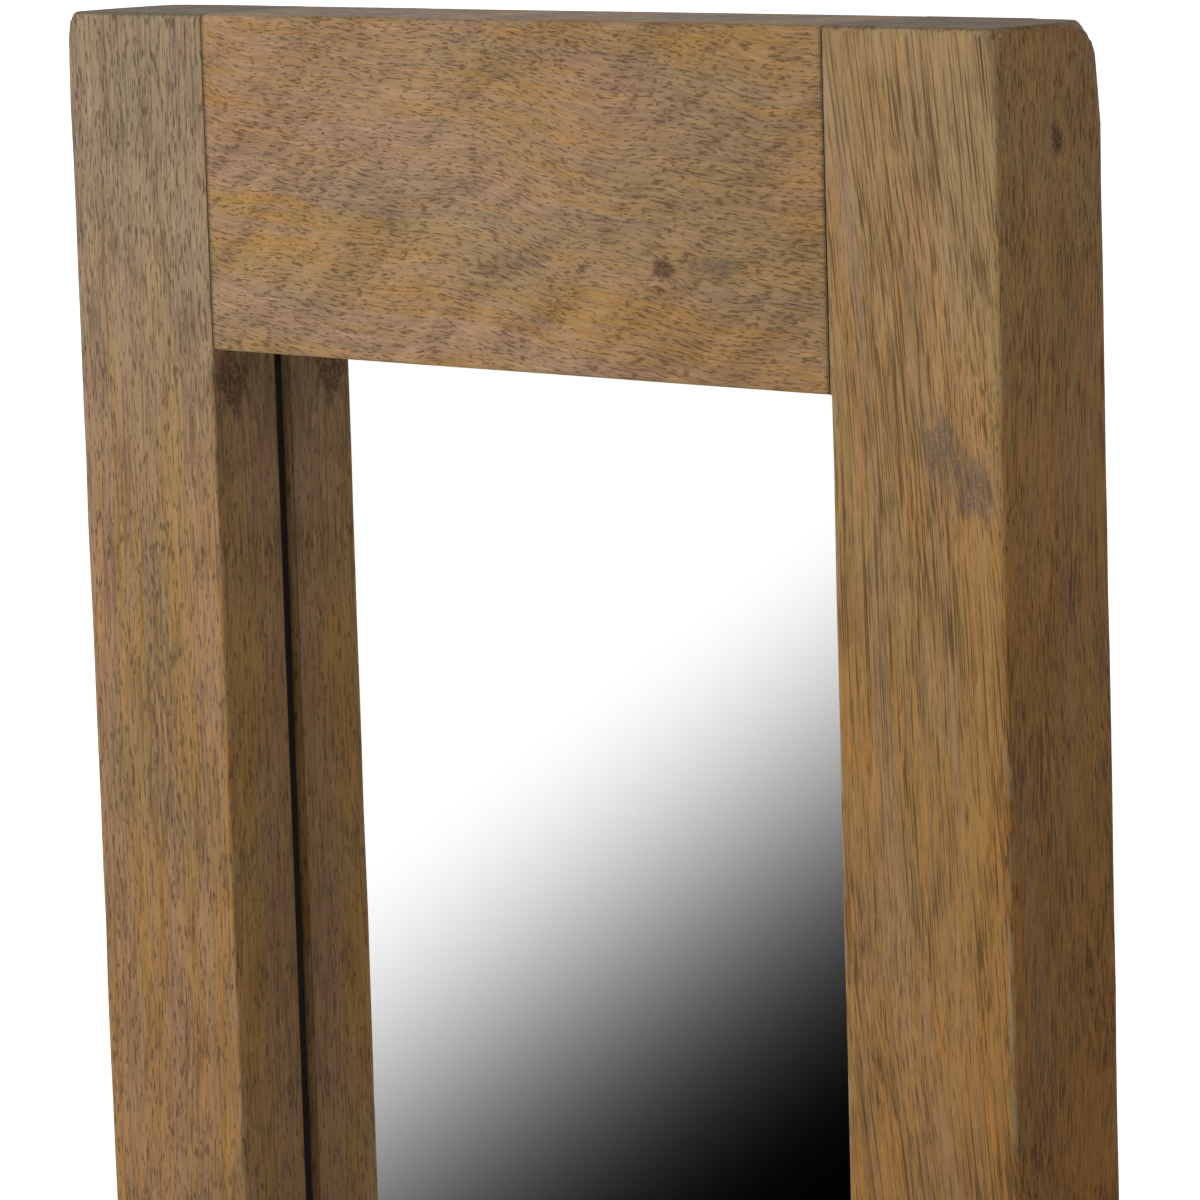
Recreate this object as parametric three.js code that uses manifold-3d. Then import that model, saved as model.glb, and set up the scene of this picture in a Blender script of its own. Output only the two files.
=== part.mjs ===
// Cheval floor mirror in solid mango wood: a thick-framed dressing mirror that swings between two posts.
// Millimetres, +Z up. The origin is on the floor below the middle of the mirror, which faces -Y.
// Left and right are as seen by someone who stands in front of the glass: left is -X.
import * as THREE from "three";
import { mergeVertices } from "three/addons/utils/BufferGeometryUtils.js";
import Module from "manifold-3d";

const wasm = await Module();
wasm.setup();

// ---------- Driving dimensions ----------

const fitGap = 0.3; // left between pieces that touch
const roundSides = 32; // flats on a bored or turned piece
const smallSides = 20; // flats on dowels, screws and bolts

// Mirror frame: two stiles that run the full height, with the rails butted between them.
const frameWidth = 400;
const frameHeight = 1500;
const frameDepth = 50;
const stileWidth = 66;
const topRailHeight = 110;
const bottomRailHeight = 110;
const edgeEase = 2.5; // outer arrises, rubbed round
const innerEase = 1.5; // arrises along the sight edge
const endEase = 0.8; // arrises across the ends

// Glass rebate and back.
const lipDepth = 28; // from the front face to the back of the lip round the glass
const rebateWidth = 10; // lip that laps over the glass
const glassThickness = 4;
const glassEdgeGap = 1.5;
const cushionThickness = 2.8; // felt strip between lip and glass
const cushionWidth = 4;
const stripInset = 4; // felt and packing strips, back from the sight edge
const packingWidth = 5;
const backPanelThickness = 5;
const panelLedge = 10; // ledge outside the glass rebate that the back panel is screwed to
const panelEdgeGap = 1;

// Panel screws, countersunk.
const screwShank = 1.6;
const screwHead = 3.4;
const screwHeadHeight = 2.1;
const screwHeadRim = 0.4;
const screwLength = 15;
const crossSlotWidth = 0.9;
const crossSlotLength = 3.6;
const crossSlotDepth = 1.2;
const screwSpread = 0.42; // outer screws of a side, as a share of the opening's height from its middle

// Dowels that hold rails to stiles.
const frameDowelRadius = 5;
const frameDowelLength = 60;
const frameDowelOffset = 28; // above and below the middle of the rail

// Pivot: a stud in each knob passes through the post and threads into the stile.
const pivotAboveMiddle = 25; // above the middle of the frame, so that it hangs upright
const studRadius = 5;
const insertRadius = 8;
const insertLength = 28;
const studInsertGap = 2; // stud stops short of the insert's inner end
const bushRadius = 7;
const leatherThickness = 3;
const leatherRadius = 18;
const knobWasherThickness = 2;
const knobWasherRadius = 14;
const knobRadius = 23;
const knobThickness = 28;
const knobLobes = 8;
const scallopDepth = 2.2;
const knobEase = 4;
const studInKnob = 18;

// Stand.
const postWidth = 44;
const postDepth = 60;
const postAbovePivot = 46;
const footWidth = 60;
const footLength = 480;
const footHeight = 60;
const footTipHeight = 34;
const footFlatLength = 150; // level stretch of a foot's top, under the post
const padRadius = 15;
const padThickness = 4;
const padInset = 34;
const tenonWidth = 24;
const tenonDepth = 36;
const tenonLength = 38;
const pegRadius = 4;

// Stretcher between the posts.
const stretcherHeight = 68;
const stretcherThickness = 28;
const stretcherAboveFoot = 6;
const swingClearance = 16.7; // from the stretcher up to the frame
const boltRadius = 3;
const boltHeadRadius = 6;
const boltHeadThickness = 4;
const plugRadius = 8;
const plugThickness = 6;
const barrelNutRadius = 5;
const barrelNutLength = 18;
const barrelNutSetback = 32; // from the stretcher's end
const boltPastNut = 4;
const socketRadius = 2.4; // hexagon socket in the bolt head
const socketDepth = 2.4;
const stretcherDowelRadius = 4;
const stretcherDowelLength = 36;
const stretcherDowelOffset = 22; // above the bolt

// ---------- Places worked out from the sizes ----------

const footTop = padThickness + fitGap + footHeight;
const stretcherBottom = footTop + stretcherAboveFoot;
const stretcherMiddle = stretcherBottom + stretcherHeight / 2;
const frameBottom = stretcherBottom + stretcherHeight + swingClearance;
const pivotHeight = frameBottom + frameHeight / 2 + pivotAboveMiddle;

const postInner = frameWidth / 2 + leatherThickness + 2 * fitGap;
const postOuter = postInner + postWidth;
const postMiddle = (postInner + postOuter) / 2;
const knobInner = postOuter + knobWasherThickness + 2 * fitGap;

// In the mirror's own frame, whose origin is the middle of the pivot axis.
const frameMiddleZ = -pivotAboveMiddle;
const frameTopZ = frameMiddleZ + frameHeight / 2;
const frameBottomZ = frameMiddleZ - frameHeight / 2;
const sightHalfWidth = frameWidth / 2 - stileWidth;
const sightTopZ = frameTopZ - topRailHeight;
const sightBottomZ = frameBottomZ + bottomRailHeight;
const sightHeight = sightTopZ - sightBottomZ;
const sightMiddleZ = (sightTopZ + sightBottomZ) / 2;
const frontY = -frameDepth / 2;
const backY = frameDepth / 2;
const lipBackY = frontY + lipDepth;
const glassFrontY = lipBackY + cushionThickness + 2 * fitGap;
const glassBackY = glassFrontY + glassThickness;
const panelFrontY = backY - backPanelThickness;
const packingThickness = panelFrontY - glassBackY - 2 * fitGap;

// ---------- Materials ----------

function finish(color, roughness, metalness = 0) {
  return new THREE.MeshStandardMaterial({ color, roughness, metalness });
}

const frameWood = finish(0x97794f, 0.55);
const standWood = finish(0x917249, 0.55);
const knobWood = finish(0x84633b, 0.5);
const dowelWood = finish(0xc7a878, 0.7);
const mirrorGlass = finish(0xdfe4e6, 0.02, 1);
const panelBoard = finish(0x8a6c4a, 0.8);
const packingBoard = finish(0xb79a6e, 0.85);
const blackFelt = finish(0x2a2725, 0.95);
const padFelt = finish(0x4b3a2c, 0.95);
const leather = finish(0x5a3820, 0.7);
const brass = finish(0xb28a45, 0.35, 1);
const steel = finish(0x8d8c88, 0.35, 1);

// ---------- Solids ----------

function toSolid(geometry) {
  const bare = geometry.clone();
  bare.deleteAttribute("normal");
  bare.deleteAttribute("uv");
  const merged = mergeVertices(bare, 1e-4);
  return new wasm.Manifold(
    new wasm.Mesh({
      numProp: 3,
      vertProperties: merged.attributes.position.array,
      triVerts: new Uint32Array(merged.index.array),
    }),
  );
}

function toGeometry(solid) {
  const mesh = solid.getMesh();
  const geometry = new THREE.BufferGeometry();
  geometry.setAttribute("position", new THREE.BufferAttribute(mesh.vertProperties, 3));
  geometry.setIndex(new THREE.BufferAttribute(mesh.triVerts, 1));
  geometry.computeVertexNormals();
  return geometry;
}

// Adds a named piece at a place in its group. The cuts are placed in the group's frame, so pieces that
// share a hole are given the same cut.
function addPiece(group, name, material, geometry, at = [0, 0, 0], cuts = []) {
  let solid = toSolid(geometry);
  for (const cut of cuts) {
    solid = solid.subtract(toSolid(cut.clone().translate(-at[0], -at[1], -at[2])));
  }
  const mesh = new THREE.Mesh(cuts.length ? toGeometry(solid) : geometry, material);
  mesh.name = name;
  mesh.position.set(...at);
  group.add(mesh);
}

function box(sizeX, sizeY, sizeZ, at = [0, 0, 0]) {
  return new THREE.BoxGeometry(sizeX, sizeY, sizeZ).translate(...at);
}

// A box between two values on each axis.
function boxBetween([x0, x1], [y0, y1], [z0, z1]) {
  return box(x1 - x0, y1 - y0, z1 - z0, [(x0 + x1) / 2, (y0 + y1) / 2, (z0 + z1) / 2]);
}

// A round bar along X, Y or Z, centred on a point.
function bar(radius, length, axis, at = [0, 0, 0], sides = smallSides) {
  const geometry = new THREE.CylinderGeometry(radius, radius, length, sides);
  if (axis === "x") geometry.rotateZ(-Math.PI / 2);
  if (axis === "z") geometry.rotateX(Math.PI / 2);
  return geometry.translate(...at);
}

// A round bar along X between two places, at a height above the group's origin.
function barBetween(radius, [from, to], height, sides = smallSides) {
  return bar(radius, to - from, "x", [(from + to) / 2, 0, height], sides);
}

// A ring or sleeve along X, from its inner to its outer radius.
function sleeve(outer, inner, length) {
  const profile = [
    [inner, -length / 2],
    [outer, -length / 2],
    [outer, length / 2],
    [inner, length / 2],
    [inner, -length / 2],
  ].map(([r, h]) => new THREE.Vector2(r, h));
  return new THREE.LatheGeometry(profile, roundSides).rotateZ(-Math.PI / 2);
}

// A rectangle with its own radius at each corner, given from the lower left round to the upper left.
function easedRectangle(width, height, [lowerLeft, lowerRight, upperRight, upperLeft]) {
  const x = width / 2;
  const y = height / 2;
  const quarter = Math.PI / 2;
  const shape = new THREE.Shape();
  shape.absarc(-x + lowerLeft, -y + lowerLeft, lowerLeft, 2 * quarter, 3 * quarter);
  shape.absarc(x - lowerRight, -y + lowerRight, lowerRight, 3 * quarter, 4 * quarter);
  shape.absarc(x - upperRight, y - upperRight, upperRight, 0, quarter);
  shape.absarc(-x + upperLeft, y - upperLeft, upperLeft, quarter, 2 * quarter);
  shape.closePath();
  return shape;
}

// Extrudes a shape about its middle, with the arrises across its ends eased.
function extrude(shape, length, ease = 0) {
  return new THREE.ExtrudeGeometry(shape, {
    depth: length - 2 * ease,
    curveSegments: 3,
    bevelEnabled: ease > 0,
    bevelThickness: ease,
    bevelSize: ease,
    bevelOffset: -ease,
    bevelSegments: 2,
  }).translate(0, 0, ease - length / 2);
}

const across = new THREE.Matrix4().makeBasis(
  new THREE.Vector3(0, 1, 0),
  new THREE.Vector3(0, 0, 1),
  new THREE.Vector3(1, 0, 0),
);

// Turns an extrusion along Z, drawn in X and Y, into one along X, drawn in Y and Z.
function layAcross(geometry) {
  return geometry.applyMatrix4(across);
}

// ---------- Screws and bolts ----------

// A countersunk screw that points to -Y, with its head's face at the origin. The clearance grows it for
// a hole.
function screw(clearance = 0) {
  const shank = screwShank + clearance;
  const head = screwHead + clearance;
  const top = clearance > 0 ? 1 : 0;
  const tip = screwLength + clearance;
  const profile = [
    [0, top],
    [head, top],
    [head, -screwHeadRim - clearance],
    [shank, -screwHeadHeight - clearance],
    [shank, -tip + 2 * shank],
    [0, -tip],
  ].map(([r, h]) => new THREE.Vector2(r, h));
  return new THREE.LatheGeometry(profile.reverse(), smallSides);
}

function crossSlots() {
  const depth = 2 * crossSlotDepth;
  return [box(crossSlotLength, depth, crossSlotWidth), box(crossSlotWidth, depth, crossSlotLength)];
}

// ---------- Mirror ----------

const stand = new THREE.Group();
const mirror = new THREE.Group();
mirror.position.z = pivotHeight;
stand.add(mirror);

const sides = [
  ["left", -1],
  ["right", 1],
];
const rails = [
  ["top", 1, topRailHeight, (frameTopZ + sightTopZ) / 2, sightTopZ],
  ["bottom", -1, bottomRailHeight, (frameBottomZ + sightBottomZ) / 2, sightBottomZ],
];

const panelHalfWidth = sightHalfWidth + rebateWidth + panelLedge;
const screwLine = sightHalfWidth + rebateWidth + panelLedge / 2;

function screwPlaces() {
  const high = screwSpread * sightHeight;
  const endOffset = sightHeight / 2 + rebateWidth + panelLedge / 2;
  const places = [
    ["panel_screw_top", 0, sightMiddleZ + endOffset],
    ["panel_screw_bottom", 0, sightMiddleZ - endOffset],
  ];
  for (const [side, sign] of sides) {
    places.push([`panel_screw_${side}_upper`, sign * screwLine, sightMiddleZ + high]);
    places.push([`panel_screw_${side}_middle`, sign * screwLine, sightMiddleZ]);
    places.push([`panel_screw_${side}_lower`, sign * screwLine, sightMiddleZ - high]);
  }
  return places;
}

function frameDowelPlaces() {
  const places = [];
  for (const [railName, , , railZ] of rails) {
    for (const [side, sign] of sides) {
      for (const [level, up] of [
        ["upper", 1],
        ["lower", -1],
      ]) {
        const at = [sign * sightHalfWidth, 0, railZ + up * frameDowelOffset];
        places.push([`frame_dowel_${railName}_${side}_${level}`, at]);
      }
    }
  }
  return places;
}

const past = 1; // how far a cut runs past the face it opens
const glassRebate = boxBetween(
  [-sightHalfWidth - rebateWidth, sightHalfWidth + rebateWidth],
  [lipBackY, backY + past],
  [sightBottomZ - rebateWidth, sightTopZ + rebateWidth],
);
const panelRecess = boxBetween(
  [-panelHalfWidth, panelHalfWidth],
  [panelFrontY - fitGap, backY + past],
  [sightBottomZ - rebateWidth - panelLedge, sightTopZ + rebateWidth + panelLedge],
);
const frameDowelHoles = frameDowelPlaces().map(([, at]) =>
  bar(frameDowelRadius + fitGap, frameDowelLength + 2 * fitGap, "x", at),
);
const insertBores = sides.map(([, sign]) => {
  const depth = insertLength + fitGap;
  const x = sign * (frameWidth / 2 - depth / 2 + past / 2);
  return bar(insertRadius + fitGap, depth + past, "x", [x, 0, 0], roundSides);
});
const screwHoles = screwPlaces().map(([, x, z]) => screw(fitGap).translate(x, backY, z));
const frameCuts = [glassRebate, panelRecess, ...frameDowelHoles, ...insertBores, ...screwHoles];

function buildFrame() {
  for (const [side, sign] of sides) {
    // The stile's inner edge is on its left on the right-hand side.
    const corners =
      sign > 0 ? [innerEase, edgeEase, edgeEase, innerEase] : [edgeEase, innerEase, innerEase, edgeEase];
    const section = easedRectangle(stileWidth, frameDepth, corners);
    const stile = extrude(section, frameHeight, endEase);
    const at = [sign * (frameWidth / 2 - stileWidth / 2), 0, frameMiddleZ];
    addPiece(mirror, `frame_stile_${side}`, frameWood, stile, at, frameCuts);
  }
  for (const [name, sign, height, z] of rails) {
    const corners =
      sign > 0 ? [innerEase, innerEase, edgeEase, edgeEase] : [edgeEase, edgeEase, innerEase, innerEase];
    const section = easedRectangle(frameDepth, height, corners);
    const rail = layAcross(extrude(section, 2 * (sightHalfWidth - fitGap)));
    addPiece(mirror, `frame_rail_${name}`, frameWood, rail, [0, 0, z], frameCuts);
  }
  for (const [name, at] of frameDowelPlaces()) {
    addPiece(mirror, name, dowelWood, bar(frameDowelRadius, frameDowelLength, "x"), at);
  }
}

function buildGlassAndBack() {
  const glassWidth = 2 * (sightHalfWidth + rebateWidth - glassEdgeGap);
  const glassHeight = sightHeight + 2 * (rebateWidth - glassEdgeGap);
  const glassAt = [0, (glassFrontY + glassBackY) / 2, sightMiddleZ];
  addPiece(mirror, "mirror_glass", mirrorGlass, box(glassWidth, glassThickness, glassHeight), glassAt);

  // Felt strips stand the glass off the lip. The long ones run past the ends of the short ones.
  const cushionY = lipBackY + fitGap + cushionThickness / 2;
  const cushionX = sightHalfWidth + stripInset + cushionWidth / 2;
  const cushionZ = sightHeight / 2 + stripInset + cushionWidth / 2;
  const longCushion = box(cushionWidth, cushionThickness, sightHeight + 2 * (stripInset + cushionWidth));
  const shortCushion = box(2 * (sightHalfWidth + stripInset - fitGap), cushionThickness, cushionWidth);
  for (const [side, sign] of sides) {
    const at = [sign * cushionX, cushionY, sightMiddleZ];
    addPiece(mirror, `glass_cushion_${side}`, blackFelt, longCushion, at);
  }
  for (const [name, sign] of rails) {
    const at = [0, cushionY, sightMiddleZ + sign * cushionZ];
    addPiece(mirror, `glass_cushion_${name}`, blackFelt, shortCushion, at);
  }

  // Packing strips press the glass forward from the back panel.
  const packingX = sightHalfWidth + rebateWidth - glassEdgeGap - packingWidth / 2;
  const packingY = glassBackY + fitGap + packingThickness / 2;
  const packing = box(packingWidth, packingThickness, sightHeight);
  for (const [side, sign] of sides) {
    const at = [sign * packingX, packingY, sightMiddleZ];
    addPiece(mirror, `packing_strip_${side}`, packingBoard, packing, at);
  }

  const panelWidth = 2 * (panelHalfWidth - panelEdgeGap);
  const panelHeight = sightHeight + 2 * (rebateWidth + panelLedge - panelEdgeGap);
  const panelAt = [0, panelFrontY + backPanelThickness / 2, sightMiddleZ];
  const panel = box(panelWidth, backPanelThickness, panelHeight);
  addPiece(mirror, "back_panel", panelBoard, panel, panelAt, screwHoles);
  for (const [name, x, z] of screwPlaces()) {
    const at = [x, backY, z];
    const slots = crossSlots().map((slot) => slot.translate(...at));
    addPiece(mirror, name, steel, screw(), at, slots);
  }
}

// ---------- Pivots ----------

// Each side's pivot is drawn for the right, and stands in a group that is turned half round for the left.
function halfTurn(sign) {
  return sign > 0 ? 0 : Math.PI;
}

function sideGroup(parent, sign) {
  const group = new THREE.Group();
  group.rotation.z = halfTurn(sign);
  parent.add(group);
  return group;
}

function knobOutline() {
  const points = [];
  const steps = knobLobes * 8;
  for (let i = 0; i < steps; i += 1) {
    const angle = (i / steps) * 2 * Math.PI;
    const radius = knobRadius - (scallopDepth * (1 - Math.cos(knobLobes * angle))) / 2;
    points.push(new THREE.Vector2(radius * Math.cos(angle), radius * Math.sin(angle)));
  }
  return new THREE.Shape(points);
}

function buildPivots() {
  const studStart = frameWidth / 2 - insertLength + studInsertGap;
  const studEnd = knobInner + studInKnob;
  const studBore = studRadius + fitGap;
  const insertAt = [frameWidth / 2 - insertLength / 2, 0, 0];
  const washerAt = [frameWidth / 2 + fitGap + leatherThickness / 2, 0, 0];
  const knobAt = [knobInner + knobThickness / 2, 0, 0];
  const insert = sleeve(insertRadius, studBore, insertLength);
  const washer = sleeve(leatherRadius, studBore, leatherThickness);
  const stud = barBetween(studRadius, [studStart, studEnd], 0, roundSides);
  const knob = layAcross(extrude(knobOutline(), knobThickness, knobEase));
  const knobBore = barBetween(studBore, [knobInner - past, studEnd + fitGap], 0, roundSides);
  for (const [side, sign] of sides) {
    const group = sideGroup(mirror, sign);
    addPiece(group, `pivot_insert_${side}`, brass, insert, insertAt);
    addPiece(group, `friction_washer_${side}`, leather, washer, washerAt);
    addPiece(group, `pivot_stud_${side}`, steel, stud);
    addPiece(group, `knob_${side}`, knobWood, knob, knobAt, [knobBore]);
  }
}

// ---------- Stand ----------

// One side of the stand is drawn for the right, and stands in a group that is turned half round for the left.
const postTop = pivotHeight + postAbovePivot;
const pegHeight = footTop - tenonLength / 2;
const boltHeight = stretcherMiddle;
const stretcherEnd = postInner - fitGap;
const boltSeat = postOuter - plugThickness - boltHeadThickness - 2 * fitGap; // its head bears here
const nutX = stretcherEnd - barrelNutSetback;
const boltEnd = nutX - barrelNutRadius - boltPastNut;
const stretcherDowelAt = [postInner - fitGap / 2, 0, boltHeight + stretcherDowelOffset];

const pegHole = barBetween(
  pegRadius + fitGap,
  [postMiddle - footWidth / 2 - past, postMiddle + footWidth / 2 + past],
  pegHeight,
);
const bushBore = barBetween(bushRadius + fitGap, [postInner - past, postOuter + past], pivotHeight, roundSides);
const counterbore = barBetween(plugRadius + fitGap, [boltSeat, postOuter + past], boltHeight);
const boltHole = barBetween(boltRadius + fitGap, [boltEnd - fitGap, boltSeat + past], boltHeight);
const stretcherDowelHole = bar(
  stretcherDowelRadius + fitGap,
  stretcherDowelLength + 3 * fitGap,
  "x",
  stretcherDowelAt,
);

function buildPost(group, side) {
  const height = postTop - footTop - fitGap;
  const corners = [edgeEase, edgeEase, edgeEase, edgeEase];
  const shaft = toSolid(extrude(easedRectangle(postWidth, postDepth, corners), height, endEase));
  const tenon = boxBetween(
    [-tenonWidth / 2, tenonWidth / 2],
    [-tenonDepth / 2, tenonDepth / 2],
    [-height / 2 - tenonLength, -height / 2 + edgeEase],
  );
  const post = toGeometry(shaft.add(toSolid(tenon)));
  const at = [postMiddle, 0, postTop - height / 2];
  const cuts = [bushBore, pegHole, counterbore, boltHole, stretcherDowelHole];
  addPiece(group, `post_${side}`, standWood, post, at, cuts);
}

function footSide() {
  const half = footLength / 2;
  const flat = footFlatLength / 2;
  return new THREE.Shape([
    new THREE.Vector2(-half, 0),
    new THREE.Vector2(half, 0),
    new THREE.Vector2(half, footTipHeight),
    new THREE.Vector2(flat, footHeight),
    new THREE.Vector2(-flat, footHeight),
    new THREE.Vector2(-half, footTipHeight),
  ]);
}

function buildFoot(group, side) {
  const mortise = boxBetween(
    [postMiddle - tenonWidth / 2 - fitGap, postMiddle + tenonWidth / 2 + fitGap],
    [-tenonDepth / 2 - fitGap, tenonDepth / 2 + fitGap],
    [footTop - tenonLength - fitGap, footTop + past],
  );
  const foot = layAcross(extrude(footSide(), footWidth, edgeEase));
  addPiece(group, `foot_${side}`, standWood, foot, [postMiddle, 0, footTop - footHeight], [mortise, pegHole]);
  const peg = bar(pegRadius, footWidth, "x");
  addPiece(group, `tenon_peg_${side}`, dowelWood, peg, [postMiddle, 0, pegHeight]);
}

function buildFootPads(side, sign) {
  const pad = bar(padRadius, padThickness, "z", [0, 0, 0], roundSides);
  for (const [end, way] of [
    ["front", -1],
    ["back", 1],
  ]) {
    const at = [sign * postMiddle, way * (footLength / 2 - padInset), padThickness / 2];
    addPiece(stand, `foot_pad_${end}_${side}`, padFelt, pad, at);
  }
}

function bolt(length) {
  const profile = [
    [0, -length],
    [boltRadius, -length],
    [boltRadius, 0],
    [boltHeadRadius, 0],
    [boltHeadRadius, boltHeadThickness],
    [0, boltHeadThickness],
  ].map(([r, h]) => new THREE.Vector2(r, h));
  return new THREE.LatheGeometry(profile, smallSides).rotateZ(-Math.PI / 2);
}

function buildFittings(group, side) {
  const studBore = studRadius + fitGap;
  const bush = sleeve(bushRadius, studBore, postWidth - 2 * fitGap);
  addPiece(group, `pivot_bush_${side}`, brass, bush, [postMiddle, 0, pivotHeight]);
  const washer = sleeve(knobWasherRadius, studBore, knobWasherThickness);
  const washerAt = [postOuter + fitGap + knobWasherThickness / 2, 0, pivotHeight];
  addPiece(group, `knob_washer_${side}`, brass, washer, washerAt);

  const boltAt = [boltSeat + fitGap, 0, boltHeight];
  const headFace = boltAt[0] + boltHeadThickness;
  const socket = barBetween(socketRadius, [headFace - socketDepth, headFace + past], boltHeight, 6);
  addPiece(group, `stretcher_bolt_${side}`, steel, bolt(boltAt[0] - boltEnd), boltAt, [socket]);
  const plug = bar(plugRadius, plugThickness, "x");
  addPiece(group, `bolt_plug_${side}`, knobWood, plug, [postOuter - plugThickness / 2, 0, boltHeight]);
  const dowel = bar(stretcherDowelRadius, stretcherDowelLength, "x");
  addPiece(group, `stretcher_dowel_${side}`, dowelWood, dowel, stretcherDowelAt);
  const thread = barBetween(
    boltRadius + fitGap,
    [nutX - barrelNutRadius - past, nutX + barrelNutRadius + past],
    boltHeight,
  );
  const nut = bar(barrelNutRadius, barrelNutLength, "y");
  addPiece(group, `barrel_nut_${side}`, steel, nut, [nutX, 0, boltHeight], [thread]);
}

// The bolt and dowel holes of both ends, and the holes in the back face that the barrel nuts drop into.
function stretcherCuts() {
  const nutHoleFront = -barrelNutLength / 2 - fitGap;
  const nutHoleBack = stretcherThickness / 2 + past;
  const nutHoleMiddle = (nutHoleFront + nutHoleBack) / 2;
  return sides.flatMap(([, sign]) => [
    boltHole.clone().rotateZ(halfTurn(sign)),
    stretcherDowelHole.clone().rotateZ(halfTurn(sign)),
    bar(barrelNutRadius + fitGap, nutHoleBack - nutHoleFront, "y", [sign * nutX, nutHoleMiddle, boltHeight]),
  ]);
}

function buildStand() {
  for (const [side, sign] of sides) {
    const group = sideGroup(stand, sign);
    buildPost(group, side);
    buildFoot(group, side);
    buildFootPads(side, sign);
    buildFittings(group, side);
  }
  const corners = [edgeEase, edgeEase, edgeEase, edgeEase];
  const section = easedRectangle(stretcherThickness, stretcherHeight, corners);
  const board = layAcross(extrude(section, 2 * stretcherEnd));
  addPiece(stand, "stretcher", standWood, board, [0, 0, stretcherMiddle], stretcherCuts());
}

buildFrame();
buildGlassAndBack();
buildPivots();
buildStand();

export default stand;
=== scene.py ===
import math
import bpy
from mathutils import Matrix, Vector, noise


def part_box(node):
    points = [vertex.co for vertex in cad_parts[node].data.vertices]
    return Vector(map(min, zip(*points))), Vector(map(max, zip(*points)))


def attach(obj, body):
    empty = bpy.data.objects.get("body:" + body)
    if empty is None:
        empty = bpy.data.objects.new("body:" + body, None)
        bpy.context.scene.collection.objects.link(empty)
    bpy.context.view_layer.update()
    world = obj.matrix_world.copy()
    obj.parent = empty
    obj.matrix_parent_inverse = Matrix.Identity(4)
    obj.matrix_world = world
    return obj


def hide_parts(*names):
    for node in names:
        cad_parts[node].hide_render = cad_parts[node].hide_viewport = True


print("loading the frame")
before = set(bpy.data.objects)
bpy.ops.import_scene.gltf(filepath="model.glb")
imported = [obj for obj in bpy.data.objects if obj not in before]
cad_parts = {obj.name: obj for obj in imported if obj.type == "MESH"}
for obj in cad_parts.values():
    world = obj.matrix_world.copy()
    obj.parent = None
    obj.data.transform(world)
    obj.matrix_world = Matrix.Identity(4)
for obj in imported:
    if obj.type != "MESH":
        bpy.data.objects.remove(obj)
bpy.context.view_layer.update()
scene = bpy.context.scene
scene.view_settings.view_transform = "Standard"

mm = 0.001
axisOf = {"x": 0, "y": 1, "z": 2}
sides = {"left": -1, "right": 1}
fitGap = 0.3 * mm  # between parts that touch

# the camera stands to the right of the mirror, at eye height, aimed at the top of the frame
cameraLook = {
    "aside": 1.299,       # from the middle of the frame's top front edge
    "ahead": 1.334,
    "above": 0.092,
    "yaw": 43.4,          # degrees to the left of straight at the glass
    "pitch": 8.4,         # degrees down
    "roll": -1.7,
    "lens": 179.5,
    "sensor": 36.0,
    "near": 0.05,
    "far": 300,
}


def cameraAxes(look):
    yaw, pitch, roll = (math.radians(look[k]) for k in ("yaw", "pitch", "roll"))
    ahead = Vector((-math.sin(yaw) * math.cos(pitch), math.cos(yaw) * math.cos(pitch), -math.sin(pitch)))
    level = Vector((math.cos(yaw), math.sin(yaw), 0))
    up = level.cross(ahead)
    right = math.cos(roll) * level + math.sin(roll) * up
    return ahead, right, math.cos(roll) * up - math.sin(roll) * level


def linked(name, data):
    made = bpy.data.objects.new(name, data)
    scene.collection.objects.link(made)
    return made


def newMesh(name, places, faces):
    mesh = bpy.data.meshes.new(name)
    mesh.from_pydata(places, [], faces)
    return mesh


def ringFaces(first, around):
    # the quads between one ring of points and the next
    turns = [(first + i, first + (i + 1) % around) for i in range(around)]
    return [(a, b, b + around, a + around) for a, b in turns]


def fanFaces(middle, first, around):
    return [(middle, first + i, first + (i + 1) % around) for i in range(around)]


def setPlaces(mesh, name, values):
    mesh.attributes.new(name, "FLOAT_VECTOR", "POINT").data.foreach_set("vector", values)


def makeCamera(look):
    railLow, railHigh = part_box("frame_rail_top")
    place = Vector(((railLow.x + railHigh.x) / 2, railLow.y, railHigh.z))
    place += Vector((look["aside"], -look["ahead"], look["above"]))
    ahead, right, up = cameraAxes(look)
    data = bpy.data.cameras.new("camera")
    data.lens = look["lens"]
    data.sensor_width = look["sensor"]
    data.clip_start = look["near"]
    data.clip_end = look["far"]
    camera = linked("camera", data)
    camera.matrix_world = Matrix.Translation(place) @ Matrix((right, up, -ahead)).transposed().to_4x4()
    scene.camera = camera
    return camera


camera = makeCamera(cameraLook)
print("camera made")


class Wire:
    def __init__(self, finish, socket):
        self.finish = finish
        self.socket = socket

    def __add__(self, other):
        return self.finish.maths("ADD", self, other)

    def __radd__(self, other):
        return self.finish.maths("ADD", other, self)

    def __sub__(self, other):
        return self.finish.maths("SUBTRACT", self, other)

    def __rsub__(self, other):
        return self.finish.maths("SUBTRACT", other, self)

    def __mul__(self, other):
        return self.finish.maths("MULTIPLY", self, other)

    def __rmul__(self, other):
        return self.finish.maths("MULTIPLY", other, self)

    def __pow__(self, other):
        return self.finish.maths("POWER", self, other)

    def __abs__(self):
        return self.finish.maths("ABSOLUTE", self)


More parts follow.
